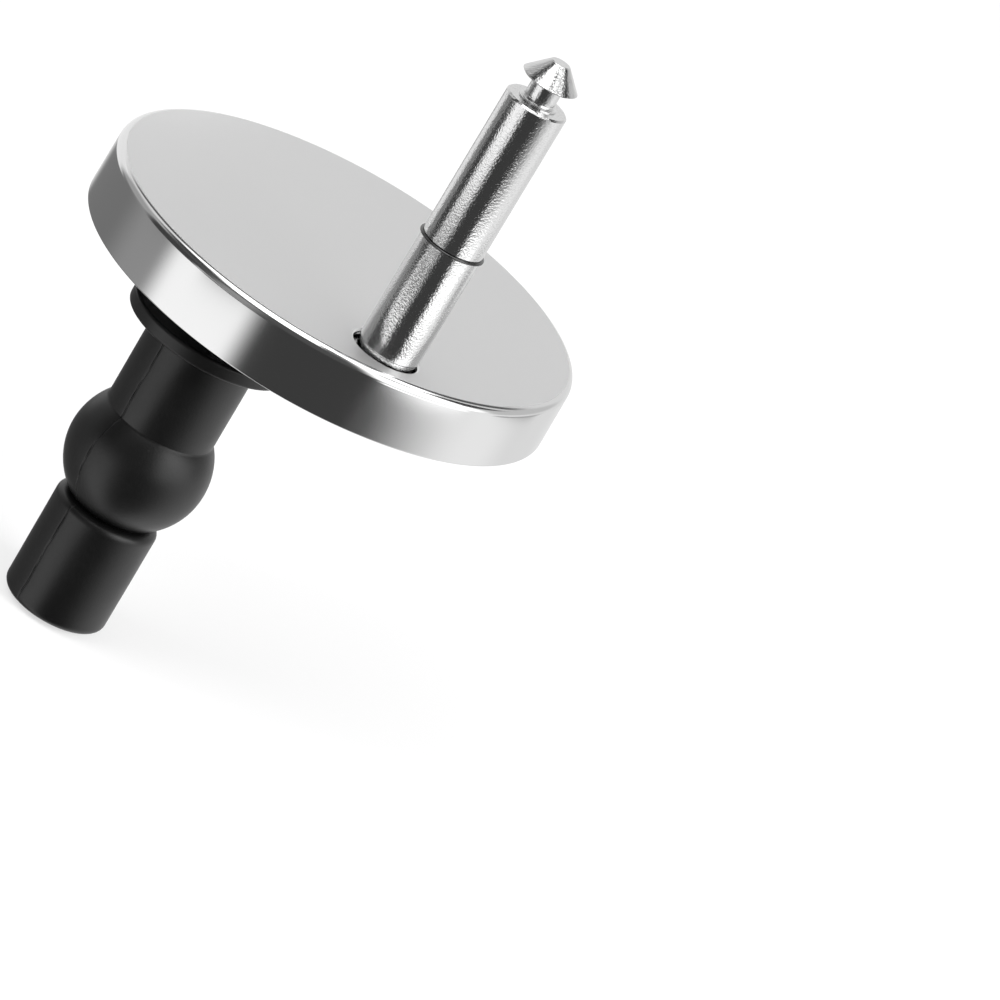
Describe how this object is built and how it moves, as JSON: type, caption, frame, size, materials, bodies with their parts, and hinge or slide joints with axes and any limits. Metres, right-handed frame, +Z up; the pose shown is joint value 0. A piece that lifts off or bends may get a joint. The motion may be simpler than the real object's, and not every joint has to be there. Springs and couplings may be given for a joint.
{
  "type": "toilet seat hinge",
  "caption": "Top fixing hinge post for a toilet seat: arrowhead steel pin on a round steel cover, over an eccentric expanding rubber anchor.",
  "frame": {"origin": "on the clamp bolt's axis, in the plane of the underside of the anchor's flange, where the hinge lies on the ceramic", "axes": "+Z up along the hinge pin, +Y from the bolt towards the centre of the round cover"},
  "size_m": [0.0552, 0.0552, 0.0823],
  "materials": {
    "cover_steel": "satin top, bright side",
    "pin_steel": "bright turned",
    "bolt_steel": "zinc plated",
    "screw_steel": "zinc plated",
    "base_plastic": "moulded, matt",
    "pad_rubber": "matt sheet",
    "ring_rubber": "smooth",
    "anchor_rubber": "moulded, satin",
    "nut_brass": "turned"
  },
  "bodies": {
    "anchor": {"rubber_anchor": "anchor_rubber", "anchor_nut": "nut_brass"},
    "carriage": {"bolt_washer": "bolt_steel"},
    "bolt": {"clamp_bolt": "bolt_steel"},
    "base": {"base": "base_plastic", "base_gasket": "pad_rubber", "hinge_pin": "pin_steel", "pin_ring": "ring_rubber", "pin_screw": "screw_steel", "pin_washer": "screw_steel"},
    "cover": {"cover_cap": "cover_steel"}
  },
  "joints": [
    {"name": "clamp_travel", "type": "slide", "parent": "anchor", "child": "carriage", "axis": [0, 0, -1], "range_m": [0, 0.0033]},
    {"name": "bolt_turn", "type": "hinge", "parent": "carriage", "child": "bolt", "pos_m": [0, 0, 0], "axis": [0, 0, -1], "range_deg": [0, 1188]},
    {"name": "base_swivel", "type": "hinge", "parent": "carriage", "child": "base", "pos_m": [0, 0, 0], "axis": [0, 0, 1], "continuous": true},
    {"name": "cover_lift", "type": "slide", "parent": "base", "child": "cover", "axis": [0, 0, 1], "range_m": [0, 0.036]}
  ],
  "couplings": [
    {"joint": "bolt_turn", "follows": "clamp_travel", "rad_per_m": 6283.1}
  ]
}
